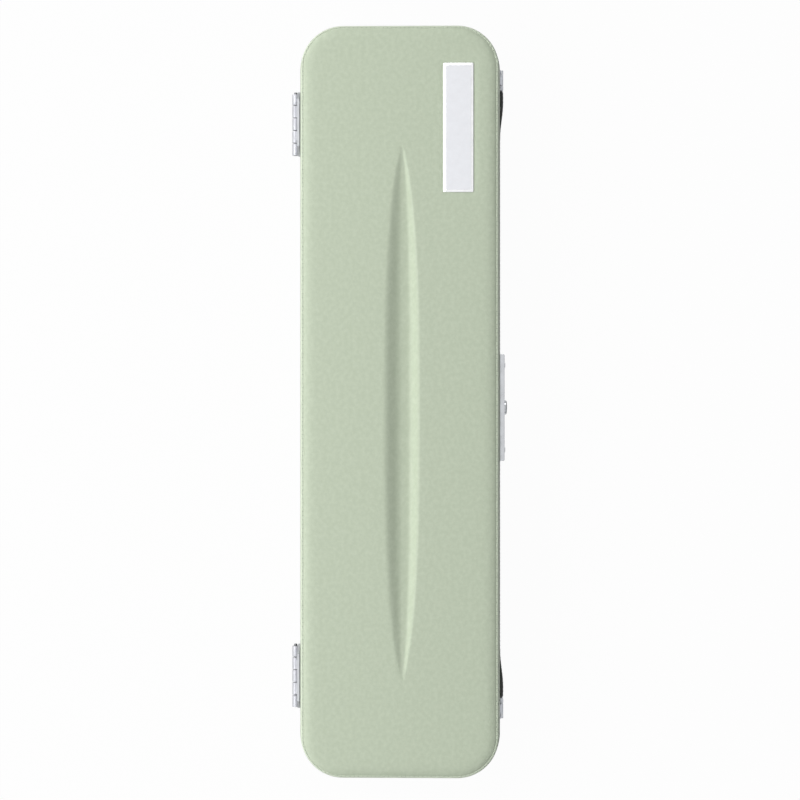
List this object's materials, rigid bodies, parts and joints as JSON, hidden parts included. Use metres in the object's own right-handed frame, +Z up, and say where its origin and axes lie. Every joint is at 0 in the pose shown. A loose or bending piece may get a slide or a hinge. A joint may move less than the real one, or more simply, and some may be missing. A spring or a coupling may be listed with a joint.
{
  "type": "flute case",
  "caption": "Slim hinged flute case with padded leather covering, a long groove in its lid, a push-button latch, a strap handle and a fitted plush insert.",
  "frame": {"origin": "middle of the flat underside, on the surface that the case lies on", "axes": "+X along the case, to the right as seen from the latch side; -Y towards the front with the latch and the handle; +Y towards the hinges; +Z up"},
  "size_m": [0.4246, 0.1228, 0.0515],
  "materials": {
    "cover_leather": "soft matte sage-green leatherette with a fine grain",
    "strap_leather": "dark slate, satin",
    "shell_plastic": "moulded, matte",
    "plush": "short grey plush pile",
    "bright_metal": "bright nickel plating",
    "spring_steel": "drawn wire",
    "plate_aluminium": "fine satin, pale"
  },
  "bodies": {
    "base": {"base_shell": "shell_plastic", "base_side_band": "cover_leather", "base_welt": "cover_leather", "base_bottom_panel": "cover_leather", "insert_tray": "plush", "latch_face_plate": "bright_metal", "latch_spring": "spring_steel", "handle_bracket_left": "bright_metal", "handle_bracket_right": "bright_metal", "hinge_base_leaf_left": "bright_metal", "hinge_base_leaf_right": "bright_metal", "hinge_pin_left": "bright_metal", "hinge_pin_right": "bright_metal", "hinge_base_rivet_left_1": "bright_metal", "hinge_base_rivet_left_2": "bright_metal", "hinge_base_rivet_right_1": "bright_metal", "hinge_base_rivet_right_2": "bright_metal", "handle_bracket_rivet_left_1": "bright_metal", "handle_bracket_rivet_left_2": "bright_metal", "handle_bracket_rivet_right_1": "bright_metal", "handle_bracket_rivet_right_2": "bright_metal", "latch_rivet_1": "bright_metal", "latch_rivet_2": "bright_metal"},
    "lid": {"lid_shell": "shell_plastic", "lid_side_band": "cover_leather", "lid_welt": "cover_leather", "lid_top_panel": "cover_leather", "lid_lining": "plush", "name_plate": "plate_aluminium", "keeper_plate": "bright_metal", "hinge_lid_leaf_left": "bright_metal", "hinge_lid_leaf_right": "bright_metal", "hinge_lid_rivet_left_1": "bright_metal", "hinge_lid_rivet_left_2": "bright_metal", "hinge_lid_rivet_right_1": "bright_metal", "hinge_lid_rivet_right_2": "bright_metal", "keeper_rivet_1": "bright_metal", "keeper_rivet_2": "bright_metal"},
    "latch_button": {"latch_button": "bright_metal", "latch_catch": "bright_metal"},
    "handle": {"handle_strap": "strap_leather", "handle_end_left": "bright_metal", "handle_end_right": "bright_metal", "handle_pin_left": "bright_metal", "handle_pin_right": "bright_metal"}
  },
  "joints": [
    {"name": "lid_hinge", "type": "hinge", "parent": "base", "child": "lid", "pos_m": [0, 0.0598, 0.027], "axis": [-1, 0, 0], "range_deg": [0, 110]},
    {"name": "latch_press", "type": "slide", "parent": "base", "child": "latch_button", "axis": [0, 1, 0], "range_m": [0, 0.002], "stiffness_N_per_m": 500, "springref_m": -0.003, "deforming": ["latch_spring"]},
    {"name": "handle_swing", "type": "hinge", "parent": "base", "child": "handle", "pos_m": [0.00425, -0.05775, 0.0115], "axis": [-1, 0, 0], "range_deg": [0, 110]}
  ]
}
